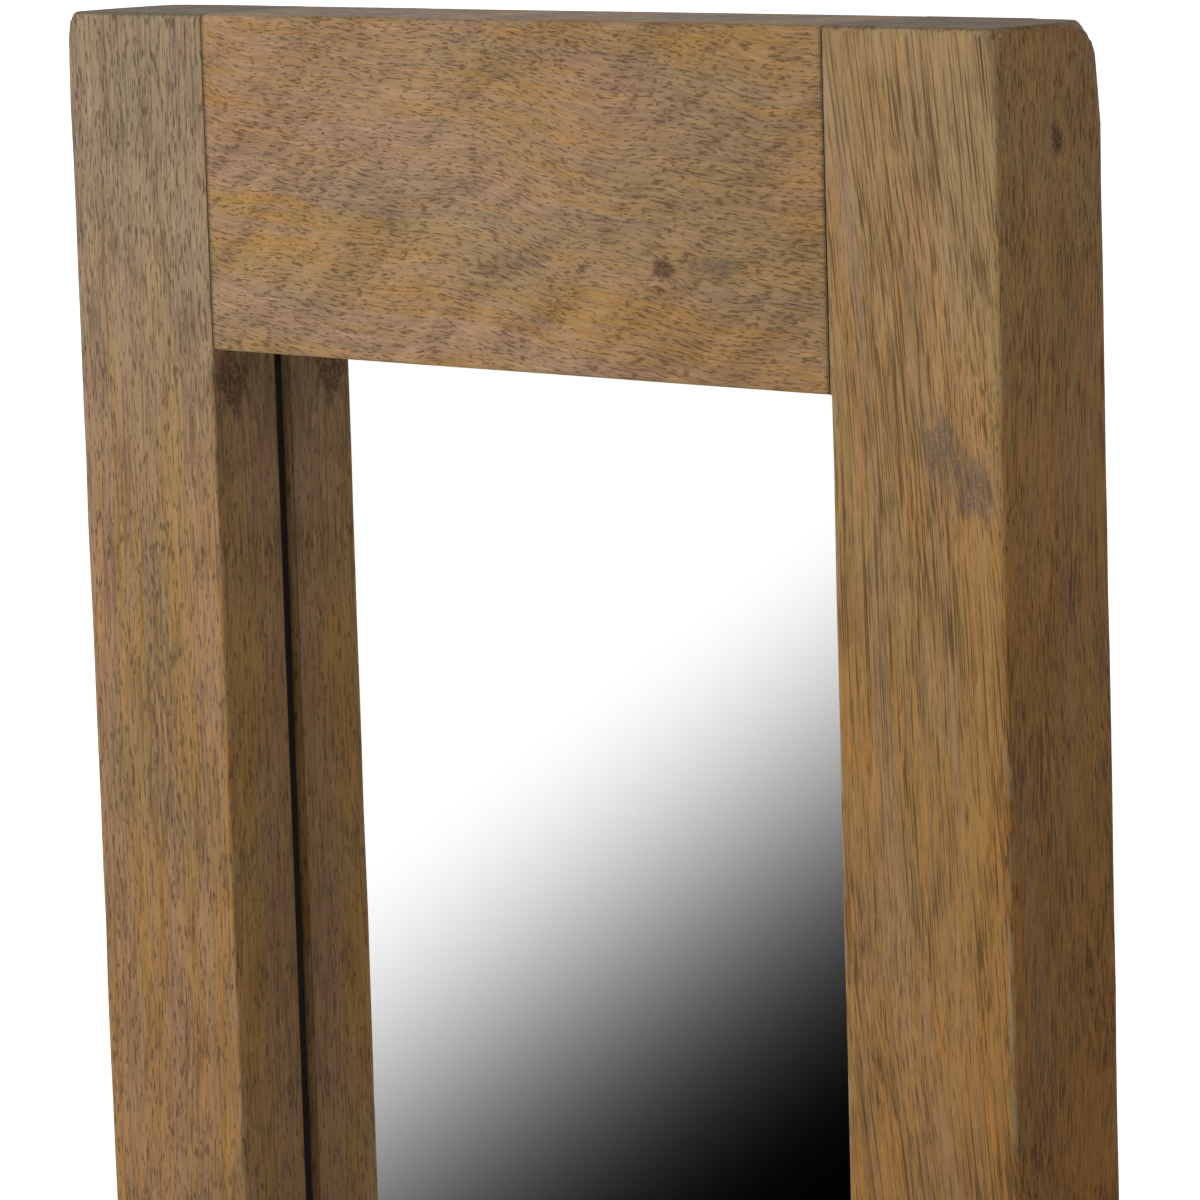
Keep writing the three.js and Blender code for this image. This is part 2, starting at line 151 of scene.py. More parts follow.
class Finish:
    def __init__(self, name, tree=None):
        if tree is None:
            self.material = bpy.data.materials.new(name)
            self.material.use_nodes = True
            tree = self.material.node_tree
        self.tree = tree
        self.tree.nodes.clear()

    def node(self, kind, settings=None, sockets=None, out=0):
        made = self.tree.nodes.new("ShaderNode" + kind)
        for name, value in (settings or {}).items():
            setattr(made, name, value)
        for key, value in (sockets or {}).items():
            if isinstance(value, Wire):
                self.tree.links.new(value.socket, made.inputs[key])
            else:
                made.inputs[key].default_value = value
        return Wire(self, made.outputs[out]) if len(made.outputs) else made

    def maths(self, operation, *values):
        return self.node("Math", {"operation": operation}, dict(enumerate(values)))

    def vector(self, operation, *values):
        out = 1 if operation == "LENGTH" else 0
        return self.node("VectorMath", {"operation": operation}, dict(enumerate(values)), out)

    def attribute(self, name, out="Vector"):
        return self.node("Attribute", {"attribute_name": name}, out=out)

    def stretched(self, place, scales):
        return self.vector("MULTIPLY", place, scales)

    def scaled(self, place, size):
        return self.node("VectorMath", {"operation": "SCALE"}, {0: place, "Scale": size})

    def part(self, place, axis):
        return self.node("SeparateXYZ", {}, {0: place}, axis)

    def noise(self, place, scales, detail=2.0, roughness=0.5, out="Fac"):
        vector = self.stretched(place, scales)
        sockets = {"Vector": vector, "Scale": 1.0, "Detail": detail, "Roughness": roughness}
        return self.node("TexNoise", {}, sockets, out)

    def smooth(self, value, low, high):
        return self.node(
            "MapRange",
            {"interpolation_type": "SMOOTHSTEP"},
            {"Value": value, "From Min": low, "From Max": high},
        )

    def mix(self, factor, first, second, blend="MIX"):
        return self.node(
            "Mix",
            {"data_type": "RGBA", "blend_type": blend, "clamp_factor": True},
            {0: factor, 6: first, 7: second},
            2,
        )

    def grey(self, value):
        return self.node("CombineColor", {}, {0: value, 1: value, 2: value})

    def bump(self, height, depth, strength=1.0):
        return self.node("Bump", {}, {"Height": height, "Distance": depth, "Strength": strength}, "Normal")

    def surface(self, sockets):
        shader = self.node("BsdfPrincipled", {}, sockets)
        self.node("OutputMaterial", {}, {"Surface": shader})
        return self.material


def tint(red, green, blue):
    # from the 0 to 255 of a paint card to the linear values that shaders take
    parts = [c / 255 for c in (red, green, blue)]
    return tuple(c / 12.92 if c < 0.04045 else ((c + 0.055) / 1.055) ** 2.4 for c in parts) + (1.0,)


white = (1.0, 1.0, 1.0, 1.0)

woodTones = {
    "pink": tint(170, 136, 104),
    "golden": tint(163, 128, 72),
    "grey": tint(137, 123, 96),
    "pale": tint(160, 141, 114),
    "orange": tint(158, 104, 50),
    "amber": tint(136, 93, 39),
    "pore": tint(63, 39, 20),
    "worn": tint(168, 150, 122),
    "scuff": tint(70, 56, 44),
    # a dark tone, for painted shade round the opening and for the darker sawn ends
    "dirt": tint(70, 58, 38),
    "knot": tint(84, 58, 38),
    "smudge": tint(104, 88, 74),
}

# how fine each pattern is, per metre across, through and along the board
woodGrain = {
    "wander": (6, 6),
    "bands": (55, 55, 3.2),
    "threads": (270, 270, 9),
    "patches": (19, 19, 9),
    "figure": (90, 60, 24),
    "fibres": (1000, 1000, 50),
    "ragged": (240, 240, 110),
    "speckle": (900, 900, 900),
    "chafe": (260, 260, 48),
    "dents": (28, 28, 9),
}

markStrength = {"knot": 0.95, "smudge": 0.75}

plainBoard = {
    "tone": 1.0,           # brightness of the whole board
    "wave": 6 * mm,        # how far the grain wanders
    "waveLength": 0.25,    # metres along the grain
    "poreLength": 6 * mm,
    "poreWidth": 1.0 * mm,
    "pores": 0.6,
    "streaks": 0.5,
    "streakLength": 40 * mm,
    "streakWidth": 1.0 * mm,
    "figure": 0.3,         # bands that cross the grain
    "figureSlant": 0.0,    # across the grain for each metre along it
    "slant": 0.0,          # of the grain itself, to the board
    "grey": 0.5,
    "golden": 0.5,
    "orange": 0.4,
    "endReach": 0.45,      # how far in from its ends a board differs
    "paleEnd": 0.0,        # drier and greyer towards the ends
    "amber": 0.0,          # deeper in colour away from the ends
    "amberEnd": 0,         # or towards one end, +1 or -1
    "wornEdge": 0.5,
    "sightSide": 0,        # which side faces the opening, +1 or -1 across the board
    # painted shade on the face round the opening, darkest beside the glass
    "sightDirt": 0.3,
    "endGrain": 0.4,       # how much darker the sawn ends are
    "endStain": 0.0,       # dirt in the last millimetres of the board
    "halfLength": 1.0,
    "halfWidth": 1.0,
    "knots": [],           # (across, through, along), (sizes), swirl, kind
}


def mangoWood(name, changes):
    look = {**plainBoard, **changes}
    wood = Finish(name)
    member = wood.attribute("memberPlace")
    place = wood.attribute("boardPlace")
    edge = wood.attribute("edgeNear", "Fac")

    # the grain swings round each knot, then wanders on its own
    knotMarks = []
    for centre, sizes, swirl, kind in look["knots"]:
        offset = wood.vector("SUBTRACT", member, centre)
        scaled = wood.stretched(offset, [1 / s for s in sizes])
        ragged = wood.noise(place, woodGrain["ragged"], 3.0, 0.6) - 0.5
        away = wood.vector("LENGTH", scaled)
        push = (1 + away * away) ** -2.0
        place = wood.vector("ADD", place, wood.scaled(wood.stretched(scaled, (swirl, swirl, 0)), push))
        mark = wood.smooth(away + ragged * 1.6, 1.0, 0.35)
        if kind == "knot":
            ring = wood.smooth(abs(away + ragged * 1.2 - 1.8), 0.3, 0.0)
            mark = wood.maths("MAXIMUM", mark, ring * (ragged + 0.25))
        knotMarks.append((mark, kind))
    lean = wood.node("CombineXYZ", {}, {0: look["slant"] * wood.part(member, 2)})
    place = wood.vector("ADD", place, lean)
    wander = wood.noise(place, (*woodGrain["wander"], 1 / look["waveLength"]), 2.0, out="Color")
    wander = wood.vector("SUBTRACT", wander, (0.5, 0.5, 0.5))
    place = wood.vector("ADD", place, wood.stretched(wander, (2 * look["wave"], 2 * look["wave"], 0)))
    along = abs(wood.part(member, 2))

    # colour runs in long bands, with grey and orange patches
    bands = wood.noise(place, woodGrain["bands"], 3.0, 0.55)
    threads = wood.noise(place, woodGrain["threads"], 2.0, 0.55)
    patches = wood.noise(place, woodGrain["patches"], 2.0, 0.55)
    blend = bands * 0.7 + threads * 0.3
    middle = 0.62 - 0.24 * look["golden"]
    share = wood.smooth(blend, middle - 0.12, middle + 0.12)
    tone = wood.mix(share, woodTones["pink"], woodTones["golden"])
    ends = wood.smooth(along, look["halfLength"] - look["endReach"], look["halfLength"])
    tone = wood.mix(wood.smooth(patches, 0.46, 0.66) * look["grey"], tone, woodTones["grey"])
    glow = wood.smooth(threads - 0.5 * patches, 0.24, 0.42)
    tone = wood.mix(glow * look["orange"], tone, woodTones["orange"])
    if look["paleEnd"] > 0:
        tone = wood.mix(wood.smooth(ends, 0.55, 1.0) * look["paleEnd"], tone, woodTones["pale"])
    if look["amber"] > 0:
        deep = 1 - ends
        if look["amberEnd"]:
            deep = wood.smooth(wood.part(member, 2) * look["amberEnd"], -0.05, 0.13)
        tone = wood.mix(deep * (0.5 + bands) * look["amber"], tone, woodTones["amber"])

    # bands of figure, which crowd and darken the pores
    across = wood.part(place, 0) - look["figureSlant"] * wood.part(place, 2)
    slanted = wood.node("CombineXYZ", {}, {0: across, 1: wood.part(place, 1), 2: wood.part(place, 2)})
    figure = wood.smooth(wood.noise(slanted, woodGrain["figure"], 3.0, 0.6), 0.36, 0.64)

    # fibres and shading
    fibres = wood.noise(place, woodGrain["fibres"], 2.0, 0.65)
    shade = 1 + (fibres - 0.5) + (threads - 0.5) * 0.6 + (bands - 0.5) * 0.4
    shade = shade - (figure - 0.4) * (0.2 * look["figure"])
    tone = wood.mix(1.0, tone, wood.grey(shade * look["tone"]), "MULTIPLY")

    # pores: short dashes along the grain, and longer dark streaks
    width = 1 / look["poreWidth"]
    dashes = wood.noise(place, (width, width, 1 / look["poreLength"]), 1.5, 0.6)
    crowd = 0.06 * figure * look["figure"] + 0.08 * patches
    pores = wood.smooth(dashes + crowd, 0.6, 0.71) * look["pores"]
    width = 1 / look["streakWidth"]
    streaks = wood.noise(place, (width, width, 1 / look["streakLength"]), 2.0, 0.6)
    streaks = wood.smooth(streaks + 0.16 * threads + 0.08 * figure, 0.655, 0.765) * look["streaks"]
    dark = wood.maths("MAXIMUM", pores, streaks)
    tone = wood.mix(dark, tone, woodTones["pore"])

    # knots and smudges
    speckle = wood.smooth(wood.noise(member, woodGrain["speckle"], 2.0, 0.6), 0.36, 0.6)
    for mark, kind in knotMarks:
        strength = markStrength[kind] * (0.5 + 0.5 * speckle)
        tone = wood.mix(mark * strength, tone, woodTones[kind])

    # painted shade: the face round the opening is darker, most of all beside the glass, where the frame
    # shades it
    if look["sightSide"]:
        inwards = wood.part(member, 0) * look["sightSide"]
        inside = wood.smooth(inwards, look["halfWidth"] - 1.2 * mm, look["halfWidth"])
        depth = wood.smooth(wood.part(member, 1), -16 * mm, 6 * mm)
        tone = wood.mix(inside * (0.6 + 0.4 * depth) * look["sightDirt"], tone, woodTones["dirt"])

    # rubbed and scuffed arrises, and dirt where a board butts against the next
    chafe = wood.noise(place, woodGrain["chafe"], 3.0, 0.65)
    nearEdge = wood.smooth(edge, 0.62, 0.9)
    worn = nearEdge * wood.smooth(chafe, 0.48, 0.6) * look["wornEdge"]
    scuffed = nearEdge * wood.smooth(chafe, 0.42, 0.33) * look["wornEdge"]
    tone = wood.mix(worn * 0.65, tone, woodTones["worn"])
    tone = wood.mix(scuffed * 0.7, tone, woodTones["scuff"])
    endGrain = wood.smooth(along, look["halfLength"] - 1.3 * mm, look["halfLength"] - 0.4 * mm)
    tone = wood.mix(endGrain * look["endGrain"], tone, woodTones["dirt"])
    if look["endStain"] > 0:
        stain = wood.smooth(along, look["halfLength"] - 2.2 * mm, look["halfLength"] - 0.3 * mm)
        tone = wood.mix(stain * look["endStain"], tone, woodTones["pore"])

    dents = wood.noise(place, woodGrain["dents"], 2.0)
    height = dents * 1.2 + fibres * 0.25 - dark
    return wood.surface({
        "Base Color": tone,
        "Roughness": 0.52 + 0.14 * fibres + 0.12 * dark,
        "Specular IOR Level": 0.1,
        "Normal": wood.bump(height, 0.35 * mm, 0.6),
    })


# boards are blocks with carved rebates, rubbed arrises and slightly uneven faces
boardMesh = {
    "edgeSteps": [step * mm for step in (0, 0.8, 1.6, 2.4, 3.2, 4.6, 6.2, 8.2, 10.5)],
    "along": 20 * mm,        # between the lines of the grid
    "across": 14 * mm,
    "closest": 0.35 * mm,
    "boreSides": 40,
    "sharpAngle": 40,        # degrees
}
boardWear = {
    "patchesPerMetre": 45,   # of rubbing along an arris
    "rubLeast": 0.7,
    "rubExtra": 0.6,
    "rubMost": 10 * mm,
    "dipsPerMetre": 11,      # in the faces
    "dip": 0.25 * mm,
    "edgeReach": 7 * mm,     # how far in from an arris wear shows
}


def gridLines(low, high, spacing, extra=()):
    steps = boardMesh["edgeSteps"]
    lines = {round(low + step, 6) for step in steps} | {round(high - step, 6) for step in steps}
    inner = high - low - 2 * steps[-1]
    cells = max(1, round(inner / spacing))
    lines |= {round(low + steps[-1] + inner * i / cells, 6) for i in range(cells + 1)}
    kept = {round(e, 6) for e in extra if low < e < high}
    closest = boardMesh["closest"]
    crowded = {line for line in lines if any(0 < abs(line - e) < closest for e in kept)}
    return sorted((lines - crowded) | kept)


def carvedMesh(name, lines, cavities):
    def solid(i, j, k):
        if not all(0 <= cell < len(axis) - 1 for cell, axis in zip((i, j, k), lines)):
            return False
        middle = [(axis[n] + axis[n + 1]) / 2 for axis, n in zip(lines, (i, j, k))]
        return not any(all(a < m < b for a, m, b in zip(low, middle, high)) for low, high in cavities)

    corners = {}
    faces = []
    # each side of a cell, with its corners in an order that faces out
    sidesOfCell = [
        ((-1, 0, 0), ((0, 0, 0), (0, 0, 1), (0, 1, 1), (0, 1, 0))),
        ((1, 0, 0), ((1, 0, 0), (1, 1, 0), (1, 1, 1), (1, 0, 1))),
        ((0, -1, 0), ((0, 0, 0), (1, 0, 0), (1, 0, 1), (0, 0, 1))),
        ((0, 1, 0), ((0, 1, 0), (0, 1, 1), (1, 1, 1), (1, 1, 0))),
        ((0, 0, -1), ((0, 0, 0), (0, 1, 0), (1, 1, 0), (1, 0, 0))),
        ((0, 0, 1), ((0, 0, 1), (1, 0, 1), (1, 1, 1), (0, 1, 1))),
    ]
    for i in range(len(lines[0]) - 1):
        for j in range(len(lines[1]) - 1):
            for k in range(len(lines[2]) - 1):
                if not solid(i, j, k):
                    continue
                for (di, dj, dk), ring in sidesOfCell:
                    if solid(i + di, j + dj, k + dk):
                        continue
                    keys = [(i + a, j + b, k + c) for a, b, c in ring]
                    faces.append([corners.setdefault(key, len(corners)) for key in keys])
    places = [Vector((lines[0][i], lines[1][j], lines[2][k])) for i, j, k in corners]
    return newMesh(name, places, faces)


def rubArris(place, low, high, first, firstSide, second, secondSide, radius):
    # moves a point near one edge of the block onto a quarter round
    u = radius - (place[first] - low[first] if firstSide < 0 else high[first] - place[first])
    v = radius - (place[second] - low[second] if secondSide < 0 else high[second] - place[second])
    if u <= 0 or v <= 0:
        return
    pull = max(u, v) / math.hypot(u, v)
    place[first] += firstSide * u * (pull - 1)
    place[second] += secondSide * v * (pull - 1)


def cornerWear(place, low, high, corners):
    extra = 0.0
    for signs, amount, reach in corners:
        corner = Vector(high[n] if sign > 0 else low[n] for n, sign in enumerate(signs))
        extra = max(extra, amount * math.exp(-(((place - corner).length / reach) ** 2)))
    return extra


def boreThrough(mesh, holes):
    # cuts a round hole for each dowel, plug or bush: (its node, extra length below, extra length above)
    if not holes:
        return mesh
    solid = linked("drilling", mesh)
    cutters = []
    for node, before, after in holes:
        low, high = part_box(node)
        sizes = high - low
        axis = max(range(3), key=lambda n: abs(3 * sizes[n] - sum(sizes)))  # the odd one out
        radius = sizes[(axis + 1) % 3] / 2 + fitGap
        low[axis] -= before
        high[axis] += after
        profile = [(0, radius), (high[axis] - low[axis], radius)]
        cutter = linked("cutter", turnedMesh("cutter", profile, boardMesh["boreSides"]))
        quarter = math.pi / 2
        turn = [Matrix.Identity(4), Matrix.Rotation(quarter, 4, "Z"), Matrix.Rotation(-quarter, 4, "Y")]
        start = (low + high) / 2
        start[axis] = low[axis]
        cutter.matrix_world = Matrix.Translation(start) @ turn[axis]
        cut = solid.modifiers.new("bore", "BOOLEAN")
        cut.operation = "DIFFERENCE"
        cut.solver = "EXACT"
        cut.object = cutter
        cutters.append(cutter)
    bpy.context.view_layer.update()
    graph = bpy.context.evaluated_depsgraph_get()
    bored = bpy.data.meshes.new_from_object(solid.evaluated_get(graph))
    bored.materials.clear()
    for extra in [solid] + cutters:
        old = extra.data
        bpy.data.objects.remove(extra)
        bpy.data.meshes.remove(old)
    return bored


def turnedMesh(name, profile, around, shaping=None):
    # a solid of revolution about X, from (distance along X, radius) pairs, closed at both ends
    places, faces = [], []
    for along, radius in profile:
        for i in range(around):
            angle = 2 * math.pi * i / around
            size = shaping(angle, along, radius) if shaping else radius
            places.append((along, size * math.cos(angle), size * math.sin(angle)))
    for ring in range(len(profile) - 1):
        faces += ringFaces(ring * around, around)
    for ring, step in ((0, -1), (len(profile) - 1, 1)):
        faces += [face[::step] for face in fanFaces(len(places), ring * around, around)]
        places.append((profile[ring][0], 0, 0))
    return newMesh(name, places, faces)


def placeGrain(mesh, low, high, order, seed):
    # says where each point lies in its board, for the wood finish
    middle = (low + high) / 2
    memberPlaces, boardPlaces, edges = [], [], []
    for vertex in mesh.vertices:
        away = sorted(min(vertex.co[n] - low[n], high[n] - vertex.co[n]) for n in range(3))
        edges.append(max(0.0, 1 - away[1] / boardWear["edgeReach"]))
        local = vertex.co - middle
        memberPlaces += [local[n] for n in order]
        boardPlaces += [local[n] + seed[m] for m, n in enumerate(order)]
    setPlaces(mesh, "memberPlace", memberPlaces)
    setPlaces(mesh, "boardPlace", boardPlaces)
    mesh.attributes.new("edgeNear", "FLOAT", "POINT").data.foreach_set("value", edges)


def finishPiece(name, mesh, material, body, slotName, *nodes):
    mesh.polygons.foreach_set("use_smooth", [True] * len(mesh.polygons))
    mesh.set_sharp_from_angle(angle=math.radians(boardMesh["sharpAngle"]))
    mesh.materials.append(material)
    piece = linked(name, mesh)
    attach(piece, body)
    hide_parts(*nodes)


def makeBoard(name, node, body, slotName, look, shape):
    low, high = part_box(node)
    low, high = low + shape.get("growLow", Vector()), high + shape.get("growHigh", Vector())
    order = [axisOf[a] for a in shape["axes"]]  # across, through and along the board
    cavities = shape.get("cavities", [])
    sightLow, sightHigh = shape.get("sightSpan", (0, 0))
    lines = []
    for n in range(3):
        extra = [c[side][n] for c in cavities for side in (0, 1)]
        if n == order[2]:
            extra += [e + d for e in shape.get("sightSpan", ()) for d in (-1 * mm, 1 * mm)]
        spacing = shape.get("spacing", boardMesh["along"]) if n == order[2] else boardMesh["across"]
        lines.append(gridLines(low[n], high[n], spacing, extra))
    mesh = carvedMesh(name, lines, cavities)

    seed = Vector(shape["seed"])
    for vertex in mesh.vertices:
        start = vertex.co.copy()
        uneven = noise.noise(start * boardWear["patchesPerMetre"] + seed * 9) * 0.5 + 0.5
        rub = boardWear["rubLeast"] + boardWear["rubExtra"] * uneven
        extra = cornerWear(start, low, high, shape.get("corners", []))
        place = start.copy()
        for first, second in ((0, 1), (0, 2), (1, 2)):
            lengthwise = order[2] not in (first, second)
            for firstSide, secondSide in ((-1, -1), (-1, 1), (1, -1), (1, 1)):
                key = (first, firstSide, second, secondSide)
                usual = shape["longArris" if lengthwise else "endArris"]
                radius = shape.get("arrises", {}).get(key, usual)
                if key == shape.get("sightArris") and not sightLow < start[order[2]] < sightHigh:
                    radius = shape["buttArris"]
                radius = min(radius * rub + extra, boardWear["rubMost"])
                rubArris(place, low, high, first, firstSide, second, secondSide, radius)
        vertex.co = place
    mesh.update()

    # faces sink a little here and there, as hand sanding leaves them
    normals = [v.normal.copy() for v in mesh.vertices]
    for vertex, normal in zip(mesh.vertices, normals):
        dip = noise.noise(vertex.co * boardWear["dipsPerMetre"] + seed * 5) * 0.5 + 0.5
        vertex.co -= normal * dip * boardWear["dip"]
    mesh = boreThrough(mesh, shape.get("holes", []))
    placeGrain(mesh, low, high, order, seed)
    if "bend" in shape:
        for vertex in mesh.vertices:
            vertex.co = shape["bend"](vertex.co, low, high)
    halves = (high - low) / 2
    look = {**look, "halfLength": halves[order[2]], "halfWidth": halves[order[0]]}
    finishPiece(name, mesh, mangoWood(name + "Wood", look), body, slotName, node)


print("mirror frame")
glassLow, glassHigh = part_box("mirror_glass")
panelLow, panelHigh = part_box("back_panel")
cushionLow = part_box("glass_cushion_left")[0]
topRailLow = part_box("frame_rail_top")[0]

frameLook = {
    "glassGap": 1.5 * mm,    # round the edge of the glass
    "panelGap": 1.0 * mm,    # round the edge of the back panel
    "pastBack": 10 * mm,
}


def frameCavities(look):
    # room for the glass behind the lip, and wider room for the back panel
    back = panelHigh.y + look["pastBack"]
    rooms = []
    for low, high, front, gap in (
        (glassLow, glassHigh, cushionLow.y - fitGap, look["glassGap"]),
        (panelLow, panelHigh, panelLow.y - fitGap, look["panelGap"]),
    ):
        roomLow = Vector((low.x - gap, front, low.z - gap))
        rooms.append((roomLow, Vector((high.x + gap, back, high.z + gap))))
    return rooms


cavities = frameCavities(frameLook)
railGrow = Vector((0.2 * mm, 0, 0))  # nearly closes the fit gap, as glue does
drillPast = 2 * mm
sightSpan = (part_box("frame_rail_bottom")[1].z, topRailLow.z)

stileShape = {
    "axes": "xyz", "longArris": 2.4 * mm, "endArris": 1.8 * mm, "sightSpan": sightSpan,
    "buttArris": 0.3 * mm, "cavities": cavities,
}
railShape = {
    "axes": "zyx", "longArris": 2.2 * mm, "endArris": 0.3 * mm, "growLow": railGrow * -1,
    "growHigh": railGrow, "cavities": cavities,
}
rightStile = {
    "board": {
        "tone": 1.05, "wave": 12 * mm, "waveLength": 0.30, "poreLength": 10 * mm, "poreWidth": 0.5 * mm,
        "pores": 0.46, "slant": 0.09, "streakWidth": 0.55 * mm, "streakLength": 60 * mm, "streaks": 0.7,
        "figure": 0.5, "grey": 0.25, "golden": 0.85, "orange": 0.5, "paleEnd": 0.25, "amber": 0.74,
        "wornEdge": 0.7, "sightSide": -1,
        "knots": [
            ((10 * mm, -25 * mm, 627 * mm), (10 * mm, 12 * mm, 13 * mm), 2 * mm, "smudge"),
            ((22 * mm, -25 * mm, 615 * mm), (11 * mm, 12 * mm, 13 * mm), 3 * mm, "smudge"),
            ((33 * mm, 3 * mm, 716 * mm), (5 * mm, 3.5 * mm, 7 * mm), 4 * mm, "knot"),
        ],
    },
    "shape": {
        **stileShape, "seed": (3.1, 1.7, 8.2), "sightArris": (0, -1, 1, -1),
        "arrises": {(0, -1, 1, -1): 1.4 * mm, (0, -1, 1, 1): 0.4 * mm, (0, -1, 2, 1): 0.4 * mm},
        "holes": [("pivot_insert_right", 0, drillPast)],
        "corners": [
            ((1, 1, 1), 8 * mm, 11 * mm),
            ((1, -1, 1), 3 * mm, 8 * mm),
            ((1, 1, -1), 3 * mm, 9 * mm),
            ((1, -1, -1), 2 * mm, 8 * mm),
        ],
    },
}
leftStile = {
    "board": {
        "tone": 1.035, "wave": 8 * mm, "waveLength": 0.16, "poreLength": 5 * mm, "poreWidth": 0.8 * mm,
        "streaks": 0.36, "figure": 0.6, "grey": 0.55, "golden": 0.45, "orange": 0.3, "paleEnd": 0.6,
        # with stronger painted shade on the face round the opening
        "amber": 0.45, "wornEdge": 0.4, "sightSide": 1, "sightDirt": 0.42,
        "knots": [((33 * mm, -17 * mm, 629 * mm), (9 * mm, 10 * mm, 16 * mm), 2 * mm, "knot")],
    },
    "shape": {
        **stileShape, "seed": (-2.3, 4.4, 3.9), "sightArris": (0, 1, 1, -1),
        "arrises": {(0, 1, 1, -1): 1.4 * mm, (0, 1, 1, 1): 0.4 * mm, (0, 1, 2, 1): 0.4 * mm},
        "holes": [("pivot_insert_left", drillPast, 0)],
        "corners": [((-1, 1, 1), 5 * mm, 10 * mm), ((-1, -1, 1), 2.5 * mm, 8 * mm)],
    },
}
topRail = {
    "board": {
        "tone": 1.045, "wave": 14 * mm, "waveLength": 0.12, "poreLength": 3.8 * mm, "poreWidth": 0.65 * mm,
        "slant": 0.1, "pores": 0.55, "streaks": 0.12, "figure": 0.8, "figureSlant": 0.8,
        "golden": 0.42, "orange": 0.25, "amber": 0.28, "amberEnd": 1, "wornEdge": 0.4, "endStain": 0.35,
        "knots": [
            ((-20 * mm, -25 * mm, 68 * mm), (4 * mm, 8 * mm, 6.5 * mm), 9 * mm, "knot"),
            ((-18 * mm, -25 * mm, 89 * mm), (5 * mm, 8 * mm, 15 * mm), 4 * mm, "smudge"),
        ],
    },
    "shape": {**railShape, "seed": (7.7, 2.2, 1.4), "arrises": {(1, -1, 2, -1): 1.4 * mm}},
}
bottomRail = {
    "board": {**topRail["board"], "knots": [], "grey": 0.4},
    "shape": {**railShape, "seed": (5.1, 9.2, 6.4), "arrises": {(1, -1, 2, 1): 1.4 * mm}},
}
for name, node, piece in (
    ("stileRight", "frame_stile_right", rightStile),
    ("stileLeft", "frame_stile_left", leftStile),
    ("railTop", "frame_rail_top", topRail),
    ("railBottom", "frame_rail_bottom", bottomRail),
):
    makeBoard(name, node, "mirror", "frame_wood", piece["board"], piece["shape"])


print("stand")
standBoard = {
    "tone": 0.97, "wave": 7 * mm, "poreLength": 9 * mm, "streaks": 0.6, "grey": 0.4, "golden": 0.6,
    "wornEdge": 0.7,
}
postShape = {"axes": "xyz", "longArris": 2.5 * mm, "endArris": 4 * mm}
footShape = {"axes": "zxy", "longArris": 3 * mm, "endArris": 4 * mm, "spacing": 12 * mm}
stretcherShape = {"axes": "zyx", "longArris": 2.2 * mm, "endArris": 0.3 * mm}
footLook = {"flatLength": 150 * mm, "tipHeight": 34 * mm}
plugFloor = 0.5 * mm  # under each bolt plug


def footProfile(place, low, high):
    # the top slopes down from the level stretch under the post to each tip
    half = (high.y - low.y) / 2
    flat = footLook["flatLength"] / 2
    tall = high.z - low.z
    share = max(0.0, (abs(place.y - (low.y + high.y) / 2) - flat) / (half - flat))
    ease = share * share * (3 - 2 * share)
    top = tall - (tall - footLook["tipHeight"]) * (0.75 * share + 0.25 * ease)
    return Vector((place.x, place.y, low.z + (place.z - low.z) * top / tall))


for number, side in enumerate(sides):
    title = side.capitalize()
    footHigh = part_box("foot_" + side)[1]
    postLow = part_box("post_" + side)[0]
    tenonLift = Vector((0, 0, footHigh.z + fitGap - postLow.z))
    past = (drillPast, plugFloor) if side == "left" else (plugFloor, drillPast)
    postHoles = [("pivot_bush_" + side, drillPast, drillPast), ("bolt_plug_" + side, *past)]
    postSeed = (1.5 + 3 * number, 6.1, 4.7 * number)
    post = {**postShape, "seed": postSeed, "growLow": tenonLift, "holes": postHoles}
    makeBoard("post" + title, "post_" + side, "stand", "stand_wood", standBoard, post)
    footSeed = (8.5 + 3 * number, 2.1, 5.3 + 4 * number)
    footHoles = [("tenon_peg_" + side, drillPast, drillPast)]
    foot = {**footShape, "seed": footSeed, "bend": footProfile, "holes": footHoles}
    makeBoard("foot" + title, "foot_" + side, "stand", "stand_wood", standBoard, foot)
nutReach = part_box("stretcher")[1].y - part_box("barrel_nut_left")[1].y + drillPast
nutHoles = [("barrel_nut_" + side, fitGap, nutReach) for side in sides]
stretcher = {**stretcherShape, "seed": (12.5, 3.3, 7.1), "holes": nutHoles}
makeBoard("stretcherBoard", "stretcher", "stand", "stand_wood", standBoard, stretcher)


def metal(name, tone, roughness, length):
    # drawn or turned metal: fine scratches, and duller where it has tarnished
    finish = Finish(name)
    place = finish.node("TexCoord", out="Object")
    scratches = finish.noise(place, length, 2.0, 0.6)
    tarnish = finish.noise(place, (90, 90, 90), 3.0, 0.6)
    dull = finish.smooth(tarnish, 0.4, 0.75)
    shade = finish.grey(0.85 + 0.25 * scratches - 0.25 * dull)
    return finish.surface({
        "Base Color": finish.mix(1.0, tone, shade, "MULTIPLY"),
        "Metallic": 1.0,
        "Roughness": roughness + 0.18 * scratches + 0.2 * dull,
        "Normal": finish.bump(scratches, 0.05 * mm, 0.4),
    })


def fibrous(name, tone, other, scale, depth, roughness=0.9):
    # felt, card and hardboard: tangled fibres in two tones
    finish = Finish(name)
    place = finish.node("TexCoord", out="Object")
    tangle = finish.noise(place, (scale, scale, scale), 3.0, 0.7)
    clouds = finish.noise(place, (14, 14, 10), 3.0, 0.6)
    flecks = finish.noise(place, (scale * 0.5, scale * 0.5, scale * 0.17), 2.0, 0.6)
    flecks = finish.smooth(flecks, 0.58, 0.7)
    blend = finish.smooth(tangle * 0.6 + clouds * 0.4, 0.35, 0.65)
    tone = finish.mix(flecks * 0.35, finish.mix(blend, tone, other), tint(60, 44, 30))
    return finish.surface({
        "Base Color": tone,
        "Roughness": roughness - 0.1 * clouds,
        "Specular IOR Level": 0.3,
        "Normal": finish.bump(tangle, depth, 0.7),
    })


